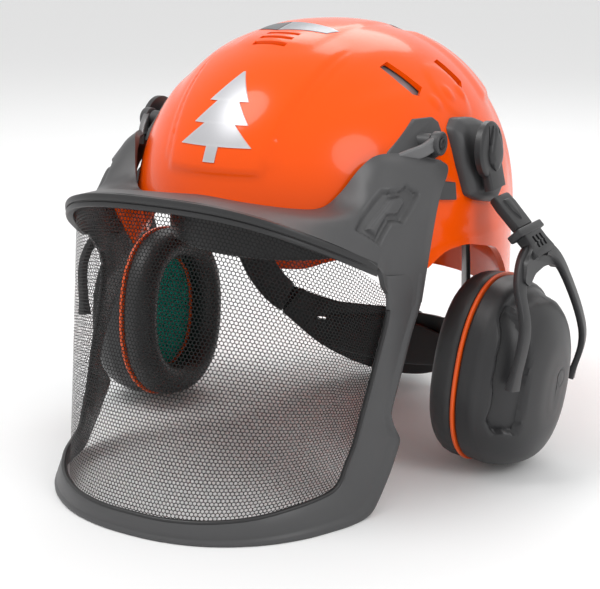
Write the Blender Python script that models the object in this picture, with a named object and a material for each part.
# Forestry safety helmet: shell with harness, hinged mesh visor and two ear muffs.
# Sizes are in millimetres and are turned into metres when each piece is made.
# The helmet's own frame: +X is the wearer's left, -Y the front, Z is measured from the floor.
import math

import bmesh
import bpy
from mathutils import Matrix, Vector

MM = 0.001
SHIFT_Y = 37.45          # moves the finished helmet so that its bounding box is centred in Y

# Shell dome: a superellipse in plan, carried up to the crown by a second superellipse.
SHELL_HALF_WIDTH = 102.0
SHELL_FRONT = 125.0
SHELL_REAR = 131.0
SHELL_HEIGHT = 109.0
SHELL_BASE_Z = 126.0
SHELL_CENTRE_Y = -6.0
PLAN_POWER = 1.9
SIDE_POWER = 2.23
SHELL_WALL = 3.0
# Height of the shell's lower edge against the angle round from the front.
SHELL_EDGE = [(0, 145), (40, 144), (49, 136), (57, 112), (66, 123), (76, 124), (95, 116),
              (103, 105), (112, 90), (120, 78), (128, 68), (143, 64), (152, 69), (180, 70)]

# Level sections of the visor lean back as they rise. Each skin is half-width at the floor,
# its change per millimetre of height, depth ahead of the centre, and the power of the curve.
VISOR_CENTRE_Y = -91.7
VISOR_LEAN = 0.1975
RIM_SKIN = (95.2, -0.004, 108.2, 2.23)
MESH_SKIN = (86.0, 0.04, 107.2, 2.4)
VISOR_WALL = 3.0

VISOR_PIVOT = (-51.0, 179.0)      # Y and Z of the axis across the helmet
PIN_R = 3.0

# Ear cup frame: centre of the back plate, and its forward, upward and outward directions.
CUP_CENTRE = Vector((110.6, -16.0, 54.0))
CUP_UP = Vector((0.065, 0.168, 0.983)).normalized()
CUP_FORE = Vector((-0.018, -0.982, 0.187)).normalized()
CUP_OUT = Vector((0.997, -0.030, -0.061)).normalized()
CUP_HALF_WIDTH = 45.0
CUP_HALF_HEIGHT = 51.0
CUP_DEPTH = 38.0
YOKE_AXIS_OUT = 30.0              # how far out of the back plate the yoke's feet are

ARM_PIVOT = Vector((102.0, -20.0, 171.0))
LINK_TOP = Vector((110.5, -18.7, 149.5))
COLLAR = Vector((128.0, -18.5, 131.0))

for old in list(bpy.data.objects):
    bpy.data.objects.remove(old, do_unlink=True)

parts = bpy.data.collections.new("Forestry helmet")
cutters = bpy.data.collections.new("Cutters")
bpy.context.scene.collection.children.link(parts)
bpy.context.scene.collection.children.link(cutters)

COLOURS = {
    "orange": ((0.90, 0.16, 0.01, 1.0), 0.25, 0.0),
    "grey": ((0.10, 0.10, 0.105, 1.0), 0.45, 0.0),
    "charcoal": ((0.045, 0.045, 0.05, 1.0), 0.5, 0.0),
    "black": ((0.012, 0.012, 0.013, 1.0), 0.6, 0.0),
    "steel": ((0.25, 0.25, 0.26, 1.0), 0.4, 1.0),
    "mesh": ((0.02, 0.02, 0.02, 1.0), 0.5, 0.0),
    "foam": ((0.01, 0.16, 0.11, 1.0), 0.9, 0.0),
    "leather": ((0.02, 0.02, 0.022, 1.0), 0.55, 0.0),
    "web": ((0.02, 0.02, 0.022, 1.0), 0.9, 0.0),
}


def place(name, bm, colour, origin=(0.0, 0.0, 0.0)):
    """Turn a bmesh in helmet millimetres into one named object with its own material."""
    bmesh.ops.remove_doubles(bm, verts=bm.verts, dist=1e-3)
    bmesh.ops.recalc_face_normals(bm, faces=bm.faces)
    spot = Vector(origin)
    for v in bm.verts:
        v.co = (v.co - spot) * MM
    mesh = bpy.data.meshes.new(name)
    bm.to_mesh(mesh)
    bm.free()
    rgba, rough, metal = COLOURS[colour]
    mat = bpy.data.materials.new(name)
    mat.use_nodes = True
    shader = mat.node_tree.nodes["Principled BSDF"]
    shader.inputs["Base Color"].default_value = rgba
    shader.inputs["Roughness"].default_value = rough
    shader.inputs["Metallic"].default_value = metal
    mesh.materials.append(mat)
    obj = bpy.data.objects.new(name, mesh)
    obj.location = (spot + Vector((0, SHIFT_Y, 0))) * MM
    parts.objects.link(obj)
    return obj


def cutter(name, bm):
    """A hidden wire object that a Boolean takes away."""
    for v in bm.verts:
        v.co = v.co * MM
    bmesh.ops.recalc_face_normals(bm, faces=bm.faces)
    mesh = bpy.data.meshes.new(name)
    bm.to_mesh(mesh)
    bm.free()
    obj = bpy.data.objects.new(name, mesh)
    obj.location = (0, SHIFT_Y * MM, 0)
    obj.hide_render = True
    obj.display_type = "WIRE"
    cutters.objects.link(obj)
    return obj


def combine(obj, tool, operation):
    mod = obj.modifiers.new(tool.name, "BOOLEAN")
    mod.operation = operation
    mod.solver = "EXACT"
    mod.object = tool


def loft(bm, sections, ring=False):
    """Skin a row of closed sections that all have the same number of points."""
    rows = [[bm.verts.new(p) for p in sec] for sec in sections]
    n = len(rows[0])
    last = len(rows) if ring else len(rows) - 1
    for k in range(last):
        a, b = rows[k], rows[(k + 1) % len(rows)]
        for i in range(n):
            bm.faces.new((a[i], a[(i + 1) % n], b[(i + 1) % n], b[i]))
    if not ring:
        bm.faces.new(rows[0])
        bm.faces.new(rows[-1])
    return bm


def sheet(bm, outer, inner):
    """A closed wall between two point grids that share their four borders."""
    a = [[bm.verts.new(p) for p in row] for row in outer]
    b = [[bm.verts.new(p) for p in row] for row in inner]
    rows, cols = len(a), len(a[0])
    for g in (a, b):
        for i in range(rows - 1):
            for j in range(cols - 1):
                bm.faces.new((g[i][j], g[i + 1][j], g[i + 1][j + 1], g[i][j + 1]))
    for i in range(rows - 1):
        for j in (0, cols - 1):
            bm.faces.new((a[i][j], a[i + 1][j], b[i + 1][j], b[i][j]))
    for j in range(cols - 1):
        for i in (0, rows - 1):
            bm.faces.new((a[i][j], a[i][j + 1], b[i][j + 1], b[i][j]))
    return bm


def prism(bm, outline, start, step):
    """Push a flat outline of 3-D points along a direction."""
    low = [Vector(p) + Vector(start) for p in outline]
    high = [p + Vector(step) for p in low]
    return loft(bm, [low, high])


def rod(bm, a, b, radius, sides=16):
    """A straight round bar from a to b."""
    a, b = Vector(a), Vector(b)
    turn = (b - a).to_track_quat("Z", "Y").to_matrix().to_4x4()
    bmesh.ops.create_cone(bm, cap_ends=True, segments=sides, radius1=radius, radius2=radius,
                          depth=(b - a).length,
                          matrix=Matrix.Translation((a + b) / 2) @ turn)
    return bm


def spline(points, per_span):
    """Catmull-Rom curve through points, with per_span steps between each pair."""
    pts = [Vector(p) for p in points]
    ends = [2 * pts[0] - pts[1]] + pts + [2 * pts[-1] - pts[-2]]
    out = []
    for k in range(1, len(ends) - 2):
        p0, p1, p2, p3 = ends[k - 1:k + 3]
        for i in range(per_span):
            t = i / per_span
            out.append(0.5 * ((2 * p1) + (p2 - p0) * t + (2 * p0 - 5 * p1 + 4 * p2 - p3) * t * t
                              + (3 * p1 - p0 - 3 * p2 + p3) * t ** 3))
    out.append(pts[-1])
    return out


def strap(bm, path, widths, thick, across):
    """A flat strap: across(i, point) gives the direction of its width at each point."""
    sections = []
    for i, p in enumerate(path):
        a = path[max(i - 1, 0)]
        b = path[min(i + 1, len(path) - 1)]
        run = (b - a).normalized()
        wide = across(i, p)
        wide = (wide - run * wide.dot(run)).normalized()
        face = run.cross(wide)
        w = widths[i] / 2 if isinstance(widths, list) else widths / 2
        sections.append([p + wide * w + face * thick / 2, p - wide * w + face * thick / 2,
                         p - wide * w - face * thick / 2, p + wide * w - face * thick / 2])
    return loft(bm, sections)


def at(table, value):
    """Straight-line reading of a table of (x, y) pairs."""
    if value <= table[0][0]:
        return table[0][1]
    for (x0, y0), (x1, y1) in zip(table, table[1:]):
        if value <= x1:
            return y0 + (y1 - y0) * (value - x0) / (x1 - x0)
    return table[-1][1]


def dome(angle, z, off=0.0):
    """A point on the shell: angle in degrees round from the front, height, outward offset."""
    s, c = math.sin(math.radians(angle)), math.cos(math.radians(angle))
    reach = (SHELL_FRONT if c > 0 else SHELL_REAR) + off
    plan = ((abs(s) / (SHELL_HALF_WIDTH + off)) ** PLAN_POWER
            + (abs(c) / reach) ** PLAN_POWER) ** (-1 / PLAN_POWER)
    up = min(max(z - SHELL_BASE_Z, 0.0) / (SHELL_HEIGHT + off), 1.0)
    k = (1 - up ** SIDE_POWER) ** (1 / SIDE_POWER)
    return Vector((k * plan * s, SHELL_CENTRE_Y - k * plan * c, z))


def dome_at_x(y, z, off=0.0):
    """Half-width of the shell at a given Y and Z."""
    up = min(max(z - SHELL_BASE_Z, 0.0) / (SHELL_HEIGHT + off), 1.0)
    k = (1 - up ** SIDE_POWER) ** (1 / SIDE_POWER)
    reach = (SHELL_FRONT if y < SHELL_CENTRE_Y else SHELL_REAR) + off
    rest = max(k ** PLAN_POWER - (abs(y - SHELL_CENTRE_Y) / reach) ** PLAN_POWER, 0.0)
    return (SHELL_HALF_WIDTH + off) * rest ** (1 / PLAN_POWER)


def visor(skin, y, z, off=0.0):
    """A point on the +X side of a visor skin at a given Y and Z."""
    half = skin[0] + skin[1] * z + off
    depth = skin[2] - VISOR_LEAN * z + off
    fwd = min(max((VISOR_CENTRE_Y - y) / depth, 0.0), 1.0)
    return Vector((half * (1 - fwd ** skin[3]) ** (1 / skin[3]), y, z))


def visor_x(skin, x, z, off=0.0):
    """A point on the front of a visor skin at a given X and Z."""
    half = skin[0] + skin[1] * z + off
    depth = skin[2] - VISOR_LEAN * z + off
    side = min(abs(x) / half, 1.0)
    return Vector((x, VISOR_CENTRE_Y - depth * (1 - side ** skin[3]) ** (1 / skin[3]), z))


def lip(x):
    """Lower edge of the peak's front lip."""
    u = x / 100
    return Vector((x, -169.4 + 2.8 * u ** 2 + 67 * u ** 4 + 11.8 * u ** 6,
                   154.6 - 6.2 * u ** 2 - 39 * u ** 4))


def flip(p, side):
    return Vector((p[0] * side, p[1], p[2]))


# ---------------------------------------------------------------- shell and its small parts
ROUND = 44
LEVELS = 11


def shell_grid(off, lift):
    grid = []
    for j in range(1, LEVELS + 1):
        row = []
        for i in range(ROUND):
            a = 360 * i / ROUND
            edge = at(SHELL_EDGE, min(a, 360 - a)) + lift
            if j <= LEVELS - 2:
                f = math.radians(90 * j / (LEVELS - 2))
                z = SHELL_BASE_Z + (SHELL_HEIGHT + off) * math.cos(f) ** (2 / SIDE_POWER)
                row.append(dome(a, max(z, edge + 2.0 * (LEVELS - j)), off))
            else:
                z = SHELL_BASE_Z + (edge - SHELL_BASE_Z) * (j - LEVELS + 2) / 2
                row.append(dome(a, max(z, edge + 2.0 * (LEVELS - j)), off))
        grid.append(row)
    return grid


bm = bmesh.new()
walls = []
for off in (0.0, -SHELL_WALL):
    grid = [[bm.verts.new(p) for p in row] for row in shell_grid(off, 0.0)]
    top = bm.verts.new((0, SHELL_CENTRE_Y, SHELL_BASE_Z + SHELL_HEIGHT + off))
    for i in range(ROUND):
        n = (i + 1) % ROUND
        bm.faces.new((top, grid[0][i], grid[0][n]))
        for j in range(LEVELS - 1):
            bm.faces.new((grid[j][i], grid[j + 1][i], grid[j + 1][n], grid[j][n]))
    walls.append(grid[-1])
for i in range(ROUND):
    n = (i + 1) % ROUND
    bm.faces.new((walls[0][i], walls[1][i], walls[1][n], walls[0][n]))
shell = place("shell", bm, "orange")

# Two slanting slots on each side and three louvres on the crown.
SIDE_VENTS = [((52, -40, 214), (71, -37, 202), 10), ((62, 1, 213), (76, 5, 203), 9)]
bm = bmesh.new()
for side in (1, -1):
    for a, b, wide in SIDE_VENTS:
        a, b = flip(a, side), flip(b, side)
        run = (b - a).normalized()
        out = Vector((side * 0.62, 0, 0.78))
        cross = run.cross(out).normalized() * wide / 2
        outline = [a - cross * 0.5, a + cross, b + cross, b + cross * 0.4 + run * 3, b - cross]
        prism(bm, outline, out * -14, out * 34)
for k in range(3):
    y = -68 + 7 * k
    prism(bm, [(-10, y, 0), (10, y, 0), (10, y + 3.5, 0), (-10, y + 3.5, 0)],
          (0, 0, 205), (0, 0, 40))
combine(shell, cutter("vent_slots", bm), "DIFFERENCE")

# A solid slightly bigger than the shell trims the pieces that sit on its outside.
bm = bmesh.new()
grid = shell_grid(0.7, -20.0)
loft(bm, grid)
clearance = cutter("shell_clearance", bm)

for side, word in ((1, "left"), (-1, "right")):
    # The screen behind the side vents follows the inside of the shell.
    outer, inner = [], []
    for i in range(7):
        a = 56 + 58 * i / 6
        outer.append([flip(dome(a, z, -SHELL_WALL - 0.8), side) for z in (190, 198, 206, 213, 219)])
        inner.append([flip(dome(a, z, -SHELL_WALL - 1.8), side) for z in (190, 198, 206, 213, 219)])
    place("vent_screen_" + word, sheet(bmesh.new(), outer, inner), "mesh")

    # Bracket that carries the visor pin: a base that follows the shell, and a boss.
    bm = bmesh.new()
    outline = [(-79, 171), (-75, 182), (-67, 190), (-55, 194.5), (-44, 193.5), (-41, 185),
               (-43, 175), (-56, 171)]
    lo = [flip((dome_at_x(y, z, -6.0), y, z), side) for y, z in outline]
    hi = [flip((dome_at_x(y, z, 1.5), y, z), side) for y, z in outline]
    loft(bm, [lo, hi])
    bracket = place("visor_bracket_" + word, bm, "charcoal")
    y, z = VISOR_PIVOT
    bm = bmesh.new()
    rod(bm, (side * 80.0, y, z), (side * 88.4, y, z), 4.8, 14)
    combine(bracket, cutter("bracket_boss_" + word, bm), "UNION")
    combine(bracket, clearance, "DIFFERENCE")
    bm = bmesh.new()
    rod(bm, (side * 85.6, y, z), (side * 93.0, y, z), PIN_R + 0.3, 16)
    combine(bracket, cutter("bracket_bore_" + word, bm), "DIFFERENCE")
    bm = bmesh.new()
    rod(bm, (side * 86.0, y, z), (side * 94.6, y, z), PIN_R, 16)
    place("visor_pin_" + word, bm, "steel")

    # Ear muff adapter: a block that follows the shell, with a boss for the swivel disc.
    bm = bmesh.new()
    outline = [(-33, 150), (-24, 146), (-8, 143), (4, 150), (8, 168), (2, 184), (-12, 188),
               (-26, 189), (-33, 184), (-35, 166)]
    rings = []
    for off, grow in ((-6.0, 1.0), (4.0, 1.0), (6.5, 0.86)):
        rings.append([flip((dome_at_x(-16 + (y + 16) * grow, 166 + (z - 166) * grow, off),
                            -16 + (y + 16) * grow, 166 + (z - 166) * grow), side)
                      for y, z in outline])
    loft(bm, rings)
    adapter = place("ear_adapter_" + word, bm, "charcoal")
    combine(adapter, clearance, "DIFFERENCE")

# ---------------------------------------------------------------- harness inside the shell
BAND_X, BAND_Y = 80.0, 99.0


def band(angle, z, off=0.0):
    s, c = math.sin(math.radians(angle)), math.cos(math.radians(angle))
    r = ((abs(s) / (BAND_X + off)) ** 2.2 + (abs(c) / (BAND_Y + off)) ** 2.2) ** (-1 / 2.2)
    return Vector((r * s, SHELL_CENTRE_Y - r * c, z))


bm = bmesh.new()
sections = []
for i in range(33):
    a = -128 + 8 * i
    low, high = 121.0 + 0.02 * abs(a), 150.0 - 0.07 * abs(a)
    sections.append([band(a, low), band(a, high), band(a, high, -2.0), band(a, low, -2.0)])
place("headband", loft(bm, sections), "black")

bm = bmesh.new()
sections = []
for i in range(15):
    a = -56 + 8 * i
    taper = 1 - (abs(a) / 60) ** 4
    low, high = 134 - 15 * taper, 134 + 13 * taper
    sections.append([band(a, low, -2.6), band(a, high, -2.6), band(a, high, -6.5),
                     band(a, low, -6.5)])
place("sweatband", loft(bm, sections), "web")

# The nape strap hangs from the sides of the headband and widens into a cradle.
half = [(74, 24, 117), (74, 27, 92), (66, 43, 62), (47, 68, 38), (24, 78, 29), (0, 81, 27)]
path = spline(half + [(-x, y, z) for x, y, z in reversed(half[:-1])], 3)
widths = [20 + 22 * (1 - min(abs(p.x) / 58, 1) ** 2) for p in path]
bm = bmesh.new()
strap(bm, path, widths, 2.4, lambda i, p: Vector((0, 0.12, 1)) if abs(p.x) < 60
      else Vector((math.copysign(0.516, p.x), -0.857, 0.35)))
place("nape_cradle", bm, "black")

bm = bmesh.new()
sections = []
for i in range(9):
    x = -40 + 10 * i
    y = 79.0 - 12 * (abs(x) / 45) ** 2.2
    low, high = 14 + 8 * (abs(x) / 45) ** 2, 43 - 3 * (abs(x) / 45) ** 2
    sections.append([Vector((x, y - 2.2, low)), Vector((x, y - 2.2, high)),
                     Vector((x, y - 5.7, high)), Vector((x, y - 5.7, low))])
place("nape_pad", loft(bm, sections), "web")

# Ratchet: housing, knob with its pinion shaft.
bm = bmesh.new()
outline = [(-30, 0, 12), (30, 0, 12), (36, 0, 20), (36, 0, 36), (30, 0, 44), (-30, 0, 44),
           (-36, 0, 36), (-36, 0, 20)]
prism(bm, outline, (0, 86.0, 0), (0, 9.0, 0))
housing = place("ratchet_housing", bm, "black")
bm = bmesh.new()
rod(bm, (0, 88.5, 28), (0, 102, 28), 6.5, 20)
combine(housing, cutter("ratchet_bore", bm), "DIFFERENCE")
bm = bmesh.new()
sections = []
for y, r in ((89.5, 6.0), (95.6, 6.0), (95.6, 14.0), (98.0, 15.5), (106.0, 15.0), (108.0, 13.0)):
    ring = []
    for i in range(30):
        a = math.radians(12 * i)
        rr = r - (0.9 if i % 3 == 0 and r > 12 else 0.0)
        ring.append(Vector((rr * math.cos(a), y, 28 + rr * math.sin(a))))
    sections.append(ring)
place("ratchet_knob", loft(bm, sections), "charcoal", (0, 100.0, 28.0))

# Textile crown straps: one fore and aft, one across below it.
for name, angles, off in (("crown_strap_long", (0, 180), -16.0),
                          ("crown_strap_cross", (90, 270), -20.0)):
    path = []
    for a, way in ((angles[0], 1), (angles[1], -1)):
        half = [dome(a, SHELL_BASE_Z + (SHELL_HEIGHT + off) * math.cos(math.radians(f)) **
                     (2 / SIDE_POWER), off) for f in (82, 68, 52, 36, 20)]
        path = path + half if way == 1 else path + [
            Vector((0, SHELL_CENTRE_Y, SHELL_BASE_Z + SHELL_HEIGHT + off))] + half[::-1]
    width = Vector((1, 0, 0)) if angles[0] == 0 else Vector((0, 1, 0))
    place(name, strap(bmesh.new(), path, 20.0, 1.4, lambda i, p: width), "web")

for k, (a, word) in enumerate(((44, "front_left"), (-44, "front_right"),
                               (133, "rear_left"), (-133, "rear_right"))):
    # Harness clips stand between the shell and the headband.
    bm = bmesh.new()
    low, high = (138, 154) if abs(a) < 90 else (120, 138)
    outline = [band(a - 6, 0, 2.4), band(a + 6, 0, 2.4)]
    for turn in (6, -6):
        p = dome(a + turn, high, -SHELL_WALL - 1.4)
        outline.append(Vector((p.x, p.y, 0)))
    prism(bm, outline, (0, 0, low), (0, 0, high - low))
    place("harness_clip_" + word, bm, "black")

# ---------------------------------------------------------------- visor
# Outer surface of the peak and its side hoods, from the centre line round to the pivot.
# Each row runs from the edge by the shell out to the lip or to the hood's lower edge.
PEAK_NET = [
    [(0, -132.5, 157), (0, -144, 159), (0, -156, 160.8), (0, -168.4, 161.6)],
    [(24, -127.5, 154.5), (25, -140, 157.5), (25.5, -154, 160), (26, -167.6, 161)],
    [(44, -118, 152), (47, -132, 155), (49, -147, 157), (51, -162.5, 157.2)],
    [(56, -109, 152), (62, -121, 152.5), (67, -134, 152), (72, -147.2, 147.6)],
    [(63, -102, 159), (70, -109, 154), (77.5, -118, 149), (84.5, -128.5, 137)],
    [(69, -94, 170), (77, -99, 163), (85.5, -107, 149), (91.5, -113.5, 126.5)],
    [(74, -87, 176), (82, -89, 169), (91, -96, 150), (94.8, -103.5, 116.5)],
    [(79, -77, 176.5), (88, -77, 168), (95.5, -83, 146), (95.6, -94, 112.5)],
    [(85.5, -64, 174.5), (93, -62, 167), (97, -72, 146), (96.2, -83, 112.5)],
    [(93.0, -50.5, 170.5), (95.6, -47, 165.0), (97.2, -62, 148), (96.2, -72.5, 112.8)],
]
PEAK_WALL = 2.6


def net_rows(net, per_row, per_span):
    """Refine a net of points along both directions."""
    rows = [spline(row, per_row) for row in net]
    cols = [spline([row[j] for row in rows], per_span) for j in range(len(rows[0]))]
    return [[col[i] for col in cols] for i in range(len(cols[0]))]


whole = [[(-x, y, z) for x, y, z in row] for row in reversed(PEAK_NET[1:])] + PEAK_NET
grid = net_rows(whole, 2, 2)
rows, cols = len(grid), len(grid[0])
under = []
for i in range(rows):
    line = []
    for j in range(cols):
        du = grid[min(i + 1, rows - 1)][j] - grid[max(i - 1, 0)][j]
        dv = grid[i][min(j + 1, cols - 1)] - grid[i][max(j - 1, 0)]
        out = du.cross(dv).normalized()
        if out.dot(grid[i][j] - Vector((0, -60, 100))) < 0:
            out = -out
        line.append(grid[i][j] - out * PEAK_WALL)
    under.append(line)
peak = place("visor_peak", sheet(bmesh.new(), grid, under), "grey",
             (0, VISOR_PIVOT[0], VISOR_PIVOT[1]))
y, z = VISOR_PIVOT
for side, word in ((1, "left"), (-1, "right")):
    # The hinge arm runs from the inside of the hood up to an eye round the pin.
    bm = bmesh.new()
    eye = [(y + 6.2 * math.cos(math.radians(t)), z + 6.2 * math.sin(math.radians(t)))
           for t in range(-60, 141, 20)]
    outline = eye + [(-66, 176), (-72, 168), (-64, 163), (-57, 166)]
    prism(bm, [(side * 89.2, p, q) for p, q in outline], (0, 0, 0), (side * 4.0, 0, 0))
    combine(peak, cutter("hinge_arm_" + word, bm), "UNION")
for side, word in ((1, "left"), (-1, "right")):
    bm = bmesh.new()
    rod(bm, (side * 86, y, z), (side * 112, y, z), PIN_R + 0.35, 16)
    combine(peak, cutter("hinge_eye_" + word, bm), "DIFFERENCE")

# Lower rim and the two side posts: an outer border point, then an inner one.
RIM = [((0, 0.0), (0, 10.5)), ((21, 0.0), (20, 10.5)), ((42, 0.0), (40, 11.2)),
       ((62, 0.0), (58, 12.6)), ((77, 0.0), (71, 15.0))]
POST = [((-140, 0.0), (-143, 17)), ((-130, 0.0), (-136, 19)), ((-120, 1.5), (-132.5, 22)),
        ((-113, 7), (-130, 27)), ((-103, 18), (-127, 32)), ((-97, 26), (-124, 37)),
        ((-93, 33), (-121.5, 43)), ((-99, 42), (-119, 49.5)), ((-102, 50), (-117, 55)),
        ((-98, 59), (-114.5, 61)), ((-92, 69), (-112, 67)), ((-82, 86), (-106, 82)),
        ((-73, 101), (-101, 96)), ((-70.5, 110), (-99, 107))]


def frame_pair(k, off):
    """Outer and inner border point at station k; negative k is the mirror side."""
    side = 1 if k >= 0 else -1
    k = abs(k)
    if k < len(RIM):
        (a, b), (c, d) = RIM[k]
        pair = visor_x(RIM_SKIN, a, b, off), visor_x(MESH_SKIN, c, d, off)
    else:
        (a, b), (c, d) = POST[k - len(RIM)]
        pair = visor(RIM_SKIN, a, b, off), visor(MESH_SKIN, c, d, off)
    return [flip(p, side) for p in pair]


LAST = len(RIM) + len(POST) - 1
bm = bmesh.new()
sections = []
for k in range(-LAST, LAST + 1):
    (a, b), (c, d) = frame_pair(k, 0.0), frame_pair(k, -VISOR_WALL)
    sections.append([a, b, d, c])
place("visor_frame", loft(bm, sections), "grey", (0, VISOR_PIVOT[0], VISOR_PIVOT[1]))

# Steel mesh: a ruled sheet from the rim up to the lip, just behind the frame.
def lip_inside(x, depth):
    """The lip's lower edge moved towards the face by a depth."""
    u = x / 100
    flat = Vector((5.6 * u + 268 * u ** 3 + 71 * u ** 5, -100, 0)).normalized()
    return lip(x) - flat * depth


def mesh_point(u, v, depth):
    """u runs across from -1 to 1, v from the rim up to the lip."""
    t = abs(u)
    foot_z = 6.0 + 6.0 * t ** 4
    top = lip_inside(88.0 * t, depth) + Vector((0, 0, 1.5))
    z = foot_z + (top.z - foot_z) * v
    edge_y = -130 + 38 * v + 5 * math.sin(math.pi * v)
    low = visor_x(MESH_SKIN, visor(MESH_SKIN, edge_y, z, -depth).x * t, z, -depth)
    return flip(low.lerp(top, v ** 3), 1 if u >= 0 else -1)


# Dark grooved rail under the front edge of the peak.
bm = bmesh.new()
sections = []
for i in range(25):
    x = -88 + 176 * i / 24
    p, q = lip(x), lip_inside(x, 3.0)
    sections.append([p, p + Vector((0, 0, 3.7)), q + Vector((0, 0, 3.7)), q])
place("visor_lip_rail", loft(bm, sections), "charcoal", (0, VISOR_PIVOT[0], VISOR_PIVOT[1]))

across = [-1 + 2 * i / 20 for i in range(21)]
upward = [i / 6 for i in range(7)]
front = [[mesh_point(u, v, VISOR_WALL + 1.1) for v in upward] for u in across]
back = [[mesh_point(u, v, VISOR_WALL + 1.7) for v in upward] for u in across]
place("visor_mesh", sheet(bmesh.new(), front, back), "mesh",
      (0, VISOR_PIVOT[0], VISOR_PIVOT[1]))

for side, word in ((1, "left"), (-1, "right")):
    # Stop block tucked behind the hood; it follows the shell.
    bm = bmesh.new()
    outline = [(-57, 151), (-42, 149), (-41, 158), (-52, 160)]
    loft(bm, [[flip((dome_at_x(y, z, off), y, z), side) for y, z in outline]
              for off in (-4.0, 3.0)])
    block = place("stop_block_" + word, bm, "charcoal", (0, VISOR_PIVOT[0], VISOR_PIVOT[1]))
    combine(block, clearance, "DIFFERENCE")

# ---------------------------------------------------------------- ear muffs
def cup_point(f, l, n):
    """Point in the cup's own directions: forward, up and outward of its back plate."""
    return CUP_CENTRE + CUP_FORE * f + CUP_UP * l + CUP_OUT * n


def oval(grow, n, count=24, lean=0.0):
    pts = []
    for i in range(count):
        a = 2 * math.pi * i / count
        c, s = math.cos(a), math.sin(a)
        r = (abs(c) ** 2.3 + abs(s) ** 2.3) ** (-1 / 2.3)
        pts.append(cup_point((CUP_HALF_WIDTH + grow) * r * c,
                             (CUP_HALF_HEIGHT + grow) * r * s + lean, n))
    return pts


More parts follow.
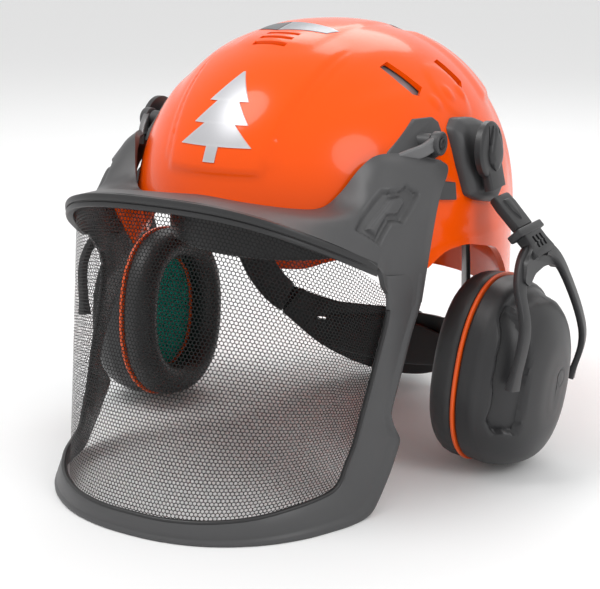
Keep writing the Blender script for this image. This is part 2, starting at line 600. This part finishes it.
arm_dir = (COLLAR - LINK_TOP).normalized()
for side, word in ((1, "left"), (-1, "right")):
    pivot = flip(ARM_PIVOT, side)
    hinge = flip(LINK_TOP, side)
    tilt = flip(cup_point(0, 0, YOKE_AXIS_OUT), side)

    # Swivel disc with its neck, turning on the adapter about an axis across the helmet.
    bm = bmesh.new()
    rod(bm, ARM_PIVOT + Vector((2.8, 0, 0)), ARM_PIVOT + Vector((7.2, 0, 0)), 14.5, 24)
    for v in bm.verts:
        v.co = flip(v.co, side)
    disc = place("swivel_disc_" + word, bm, "charcoal", pivot)
    bm = bmesh.new()
    neck = [Vector((105.4, -27, 164)), Vector((105.4, -12, 164)), Vector((108.3, -11.5, 152.0)),
            Vector((108.3, -26.0, 152.0))]
    prism(bm, [flip(p, side) for p in neck], (0, 0, 0), (side * 4.6, 0, 0))
    combine(disc, cutter("disc_neck_" + word, bm), "UNION")

    # Link below the hinge, ending in the tongue that the collar slides on.
    across_dir = Vector((0.02, 1, 0.02)).normalized()
    thick_dir = arm_dir.cross(across_dir).normalized()
    bm = bmesh.new()
    sections = []
    for d, w, t in ((2.0, 14, 3.4), (8, 15, 4.6), (22.7, 14, 4.6), (22.9, 10, 2.4), (38, 10, 2.4)):
        c = LINK_TOP + arm_dir * d
        sections.append([flip(c + across_dir * sx * w / 2 + thick_dir * sy * t / 2, side)
                         for sx, sy in ((1, 1), (-1, 1), (-1, -1), (1, -1))])
    place("arm_link_" + word, loft(bm, sections), "charcoal", hinge)

    # Wishbone yoke: collar, shoulders and two legs down to the cup's tilt axis.
    foot_f = cup_point(41.0, 0, YOKE_AXIS_OUT)
    foot_r = cup_point(-41.0, 0, YOKE_AXIS_OUT)
    bm = bmesh.new()
    half_f = [foot_f + CUP_UP * -3, foot_f + CUP_UP * 28 + CUP_OUT * 1.5,
              Vector((136, -44, 108)), Vector((133.5, -29, 121))]
    half_r = [Vector((135, -6, 120)), Vector((140, 9, 105)),
              foot_r + CUP_UP * 24 + CUP_OUT * 2.5, foot_r + CUP_UP * -3]
    path = spline(half_f + half_r, 2)
    strap(bm, [flip(p, side) for p in path], 7.5, 3.4,
          lambda i, p: Vector((-side * 0.25 * p.z / 100, (-1 if i < len(path) / 2 else 1), 0.4)))
    yoke = place("yoke_" + word, bm, "charcoal", flip(COLLAR, side))
    bm = bmesh.new()
    sections = []
    for d, w, t in ((-2.2, 29, 8.5), (1.8, 29, 8.5), (1.9, 20, 7.5), (13, 24, 5.5)):
        c = COLLAR + arm_dir * d
        sections.append([flip(c + across_dir * sx * w / 2 + thick_dir * sy * t / 2, side)
                         for sx, sy in ((1, 1), (-1, 1), (-1, -1), (1, -1))])
    combine(yoke, cutter("collar_" + word, loft(bm, sections)), "UNION")
    web = [Vector((133.6, -27, 122.5)), Vector((133.6, -8, 121.5)), Vector((135.6, -9, 108)),
           Vector((135.6, -25, 108))]
    bm = bmesh.new()
    prism(bm, [flip(p, side) for p in web], (0, 0, 0), (side * 2.6, 0, 0))
    combine(yoke, cutter("web_" + word, bm), "UNION")
    bm = bmesh.new()
    sections = []
    for d in (-6, 30):
        c = COLLAR + arm_dir * d
        sections.append([flip(c + across_dir * sx * 5.4 + thick_dir * sy * 1.6, side)
                         for sx, sy in ((1, 1), (-1, 1), (-1, -1), (1, -1))])
    combine(yoke, cutter("tongue_slot_" + word, loft(bm, sections)), "DIFFERENCE")

    # Cup shell: an egg-shaped bowl with an even wall.
    bm = bmesh.new()
    outer = [(0, 0.8), (-0.8, 12), (-4.5, 22), (-12, 31), (-25, 36.5)]
    rows = []
    for grow, n in outer:
        rows.append([flip(p, side) for p in oval(grow, n, lean=-0.12 * n)])
    inner = [(-3, 0.8), (-4, 12), (-8, 21), (-16, 28.5), (-28, 33)]
    rows_in = []
    for grow, n in inner:
        rows_in.append([flip(p, side) for p in oval(grow, n, lean=-0.12 * n)])
    allrows = [[bm.verts.new(p) for p in row] for row in rows_in[::-1] + rows]
    count = len(allrows[0])
    for a, b in zip(allrows, allrows[1:]):
        for i in range(count):
            bm.faces.new((a[i], a[(i + 1) % count], b[(i + 1) % count], b[i]))
    for row, n in ((allrows[0], 34.5), (allrows[-1], CUP_DEPTH)):
        tip = bm.verts.new(flip(cup_point(0, -0.12 * n, n), side))
        for i in range(count):
            bm.faces.new((row[i], row[(i + 1) % count], tip))
    place("ear_cup_" + word, bm, "charcoal", tilt)

    # Back plate with the bright edge, then the foam and the cushion.
    bm = bmesh.new()
    ring = [[flip(p, side) for p in oval(g, n)] for g, n in
            ((0.4, 0.4), (0.4, -1.4), (-17, -1.4), (-17, 0.4))]
    loft(bm, [[ring[k][i] for k in range(4)] for i in range(24)], ring=True)
    place("cup_ring_" + word, bm, "orange", tilt)

    bm = bmesh.new()
    loft(bm, [[flip(p, side) for p in oval(-10, n)] for n in (0.8, 10.0)])
    place("ear_foam_" + word, bm, "foam", tilt)

    bm = bmesh.new()
    profile = [(-1.5, -1.8), (0.2, -6), (-1.0, -12), (-5, -16.5), (-10.5, -17.5), (-15.5, -15),
               (-18, -9), (-17.5, -1.8)]
    loops = [[flip(p, side) for p in oval(g, n)] for g, n in profile]
    loft(bm, [[loop[i] for loop in loops] for i in range(24)], ring=True)
    place("ear_cushion_" + word, bm, "leather", tilt)
